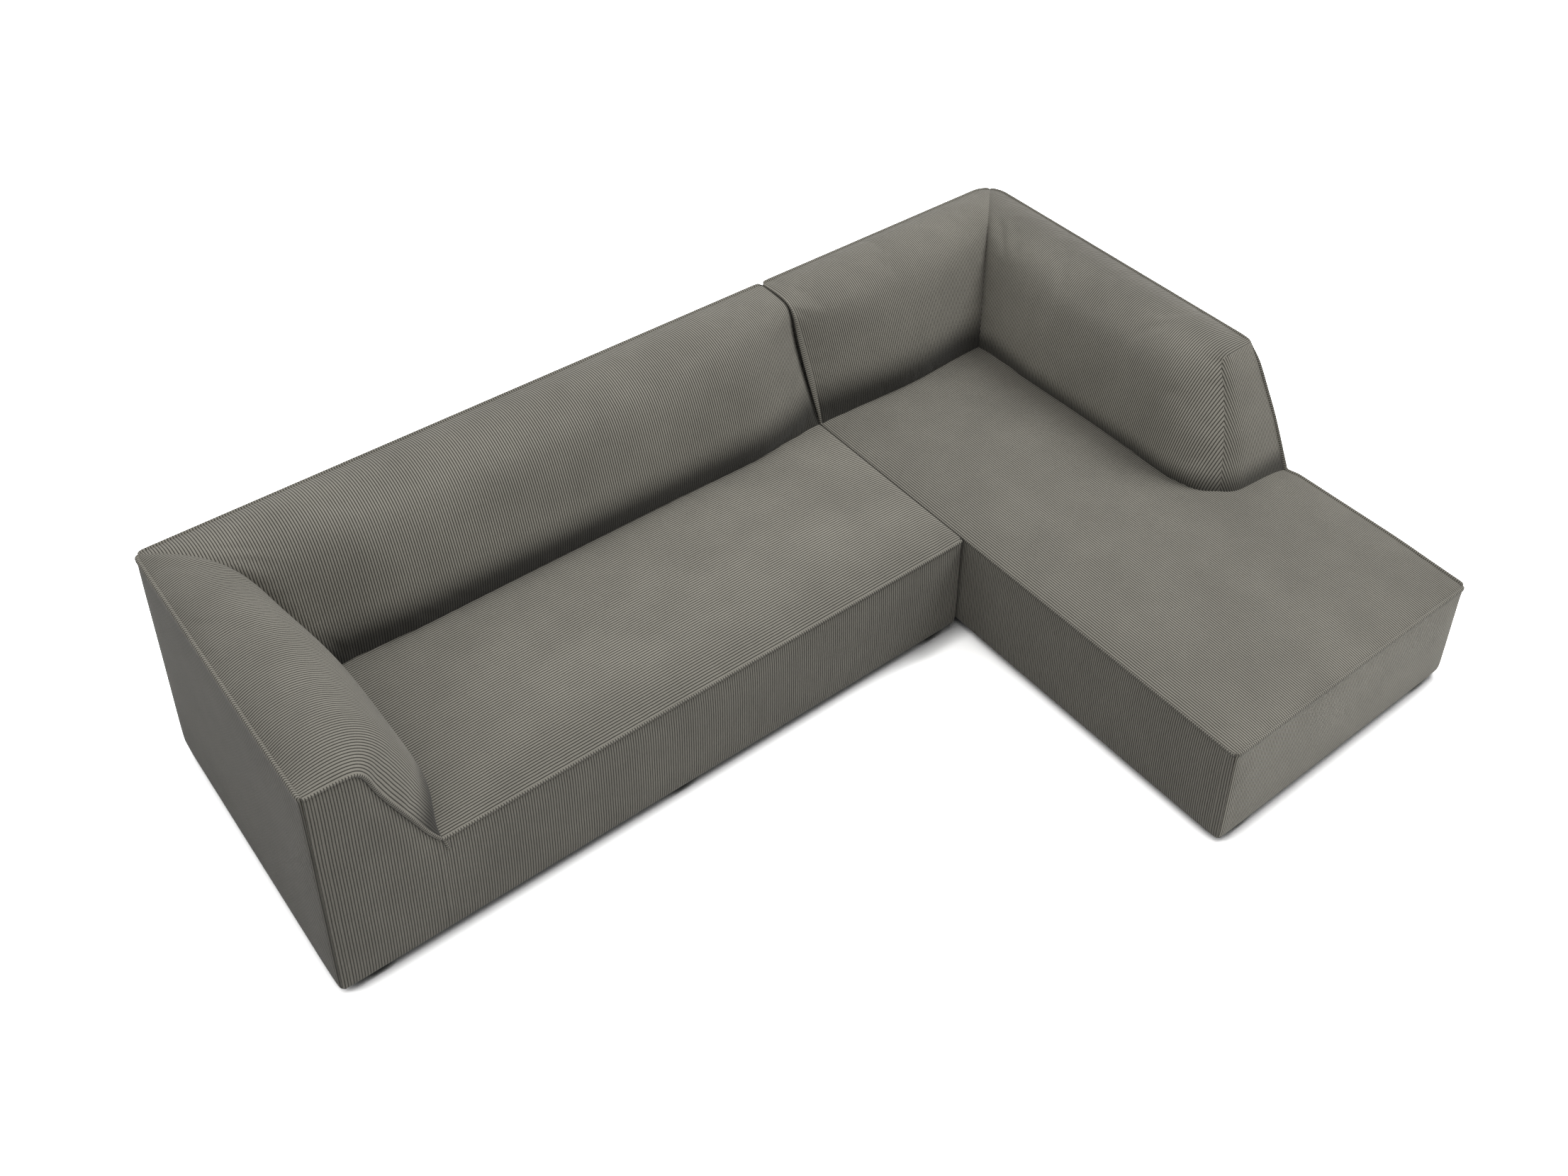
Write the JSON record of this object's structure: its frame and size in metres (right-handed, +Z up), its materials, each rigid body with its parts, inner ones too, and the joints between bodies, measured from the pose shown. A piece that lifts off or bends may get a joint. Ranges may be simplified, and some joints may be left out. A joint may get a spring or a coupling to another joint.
{
  "type": "corner sofa",
  "caption": "Low corner sofa in ribbed cloth: a long unit with an arm and a padded back, and a chaise unit with a back and a short side back, hooked together over a timber frame",
  "frame": {"origin": "middle of the overall plan on the floor, below the feet", "axes": "+X along the length towards the chaise side, -Y towards the front of the seats, +Z up"},
  "size_m": [2.742, 1.812, 0.6887],
  "materials": {
    "corduroy": "ribbed corduroy cloth",
    "foam": "open-cell foam",
    "lining": "spunbond lining",
    "webbing": "woven elastic webbing",
    "felt": "pressed felt",
    "steel": "zinc plated",
    "dark_wood": "dark stained",
    "hardboard": "hardboard sheet",
    "plywood": "plywood",
    "timber": "planed softwood"
  },
  "bodies": {
    "sofa_unit": {"sofa_arm_cover": "corduroy", "sofa_arm_foam": "foam", "sofa_arm_ribs": "plywood", "sofa_back_cover": "corduroy", "sofa_back_foam": "foam", "sofa_back_ribs": "plywood", "sofa_corner_blocks": "timber", "sofa_dust_cover": "lining", "sofa_feet": "dark_wood", "sofa_frame_straps": "webbing", "sofa_front_cover": "corduroy", "sofa_front_rail": "timber", "sofa_glides": "felt", "sofa_hook_plates": "steel", "sofa_left_cover": "corduroy", "sofa_outer_boards": "hardboard", "sofa_rear_cover": "corduroy", "sofa_rear_rail": "timber", "sofa_right_cover": "corduroy", "sofa_seat_cover": "corduroy", "sofa_seat_foam": "foam", "sofa_seat_webbing": "webbing", "sofa_side_rails": "timber", "sofa_sills": "timber", "sofa_stretchers": "timber", "sofa_top_boards": "timber"},
    "chaise_unit": {"chaise_back_cover": "corduroy", "chaise_back_foam": "foam", "chaise_back_ribs": "plywood", "chaise_catch_plates": "steel", "chaise_corner_blocks": "timber", "chaise_dust_cover": "lining", "chaise_feet": "dark_wood", "chaise_frame_straps": "webbing", "chaise_front_cover": "corduroy", "chaise_front_rail": "timber", "chaise_glides": "felt", "chaise_left_cover": "corduroy", "chaise_outer_boards": "hardboard", "chaise_rear_cover": "corduroy", "chaise_rear_rail": "timber", "chaise_return_cover": "corduroy", "chaise_return_end_cover": "corduroy", "chaise_return_end_foam": "foam", "chaise_return_foam": "foam", "chaise_return_ribs": "plywood", "chaise_right_cover": "corduroy", "chaise_seat_cover": "corduroy", "chaise_seat_foam": "foam", "chaise_seat_webbing": "webbing", "chaise_side_rails": "timber", "chaise_sills": "timber", "chaise_stretchers": "timber", "chaise_top_boards": "timber"}
  },
  "joints": [
    {"name": "chaise_unit_lift", "type": "slide", "parent": "sofa_unit", "child": "chaise_unit", "axis": [0, 0, 1], "range_m": [0, 0.07]}
  ]
}
